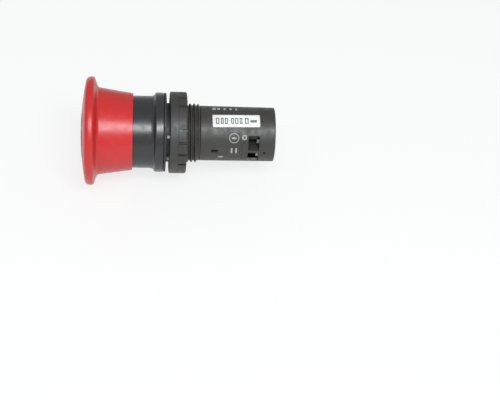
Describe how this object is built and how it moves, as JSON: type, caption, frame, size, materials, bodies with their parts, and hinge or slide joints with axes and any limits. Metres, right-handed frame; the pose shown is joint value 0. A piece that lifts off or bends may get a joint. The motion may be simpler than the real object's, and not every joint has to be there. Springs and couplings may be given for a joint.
{
  "type": "emergency stop button",
  "caption": "Twist-release mushroom emergency stop button on a threaded panel barrel with lock nut, and a round contact housing with side wire entries.",
  "frame": {"origin": "on the barrel's axis, in the plane where the gasket meets the front of the panel", "axes": "+Y along the barrel's axis, from the mushroom head to the rear cover; the wire entries face +X and -X; the keyway is at -Z"},
  "size_m": [0.04, 0.0714, 0.04],
  "materials": {
    "red_plastic": "satin moulded, slightly glossy",
    "collar_plastic": "smooth and glossy, cool dark grey",
    "housing_plastic": "fine satin moulding, warm dark grey",
    "nut_plastic": "satin moulding, warm dark grey",
    "rubber": "smooth black rubber",
    "acetal": "natural white acetal",
    "insulator": "grey thermoset",
    "spring_steel": "drawn spring wire",
    "plated_steel": "zinc plated",
    "brass": "rolled strip",
    "label": "white film label, no print"
  },
  "bodies": {
    "base": {"bezel_collar": "collar_plastic", "threaded_barrel": "housing_plastic", "spindle_guide": "acetal", "panel_gasket": "rubber", "stem_seal": "rubber", "latch_clip": "spring_steel", "twist_spring": "spring_steel", "contact_housing": "housing_plastic", "terminal_holder": "insulator", "return_spring": "spring_steel", "rear_cover": "housing_plastic", "blank_label": "label", "fixed_contact_1": "brass", "fixed_contact_2": "brass", "fixed_contact_3": "brass", "fixed_contact_4": "brass"},
    "plunger": {"plunger": "acetal", "contact_carrier": "acetal", "contact_bridge_1": "brass", "contact_bridge_2": "brass", "contact_spring_1": "spring_steel", "contact_spring_2": "spring_steel"},
    "operator": {"mushroom_cap": "red_plastic", "cap_spindle": "acetal", "cam_sleeve": "acetal", "drive_pin": "plated_steel", "spindle_clip": "spring_steel"},
    "thrust_ring": {"thrust_ring": "nut_plastic", "grip_washer": "plated_steel"},
    "lock_nut": {"lock_nut": "nut_plastic"},
    "terminal_clamp_1": {"terminal_clamp_1": "plated_steel"},
    "terminal_screw_1": {"terminal_screw_1": "plated_steel"},
    "terminal_clamp_2": {"terminal_clamp_2": "plated_steel"},
    "terminal_screw_2": {"terminal_screw_2": "plated_steel"},
    "terminal_clamp_3": {"terminal_clamp_3": "plated_steel"},
    "terminal_screw_3": {"terminal_screw_3": "plated_steel"},
    "terminal_clamp_4": {"terminal_clamp_4": "plated_steel"},
    "terminal_screw_4": {"terminal_screw_4": "plated_steel"}
  },
  "joints": [
    {"name": "press", "type": "slide", "parent": "base", "child": "plunger", "axis": [0, 1, 0], "range_m": [0, 0.0045], "stiffness_N_per_m": 2000, "springref_m": -0.003, "deforming": ["return_spring", "latch_clip"]},
    {"name": "twist", "type": "hinge", "parent": "plunger", "child": "operator", "pos_m": [0, 0, 0], "axis": [0, 1, 0], "range_deg": [0, 45], "stiffness_Nm_per_rad": 0.02, "deforming": ["twist_spring"]},
    {"name": "nut_travel", "type": "slide", "parent": "base", "child": "thrust_ring", "axis": [0, 1, 0], "range_m": [-0.00019, 0.0045]},
    {"name": "nut_turn", "type": "hinge", "parent": "thrust_ring", "child": "lock_nut", "pos_m": [0, 0, 0], "axis": [0, 1, 0], "range_deg": [-45.5, 1080.5]},
    {"name": "clamp_travel_1", "type": "slide", "parent": "base", "child": "terminal_clamp_1", "axis": [0, 1, 0], "range_m": [-0.0039, 0]},
    {"name": "screw_turn_1", "type": "hinge", "parent": "terminal_clamp_1", "child": "terminal_screw_1", "pos_m": [0.0049, 0.037, 0.0032], "axis": [0, 1, 0], "range_deg": [-2808.5, 0.5]},
    {"name": "clamp_travel_2", "type": "slide", "parent": "base", "child": "terminal_clamp_2", "axis": [0, 1, 0], "range_m": [-0.0039, 0]},
    {"name": "screw_turn_2", "type": "hinge", "parent": "terminal_clamp_2", "child": "terminal_screw_2", "pos_m": [0.0049, 0.037, -0.0032], "axis": [0, 1, 0], "range_deg": [-2808.5, 0.5]},
    {"name": "clamp_travel_3", "type": "slide", "parent": "base", "child": "terminal_clamp_3", "axis": [0, 1, 0], "range_m": [-0.0039, 0]},
    {"name": "screw_turn_3", "type": "hinge", "parent": "terminal_clamp_3", "child": "terminal_screw_3", "pos_m": [-0.0049, 0.037, -0.0032], "axis": [0, 1, 0], "range_deg": [-2808.5, 0.5]},
    {"name": "clamp_travel_4", "type": "slide", "parent": "base", "child": "terminal_clamp_4", "axis": [0, 1, 0], "range_m": [-0.0039, 0]},
    {"name": "screw_turn_4", "type": "hinge", "parent": "terminal_clamp_4", "child": "terminal_screw_4", "pos_m": [-0.0049, 0.037, 0.0032], "axis": [0, 1, 0], "range_deg": [-2808.5, 0.5]}
  ],
  "couplings": [
    {"joint": "nut_turn", "follows": "nut_travel", "rad_per_m": 4188.8},
    {"joint": "screw_turn_1", "follows": "clamp_travel_1", "rad_per_m": 12566},
    {"joint": "screw_turn_2", "follows": "clamp_travel_2", "rad_per_m": 12566},
    {"joint": "screw_turn_3", "follows": "clamp_travel_3", "rad_per_m": 12566},
    {"joint": "screw_turn_4", "follows": "clamp_travel_4", "rad_per_m": 12566}
  ]
}
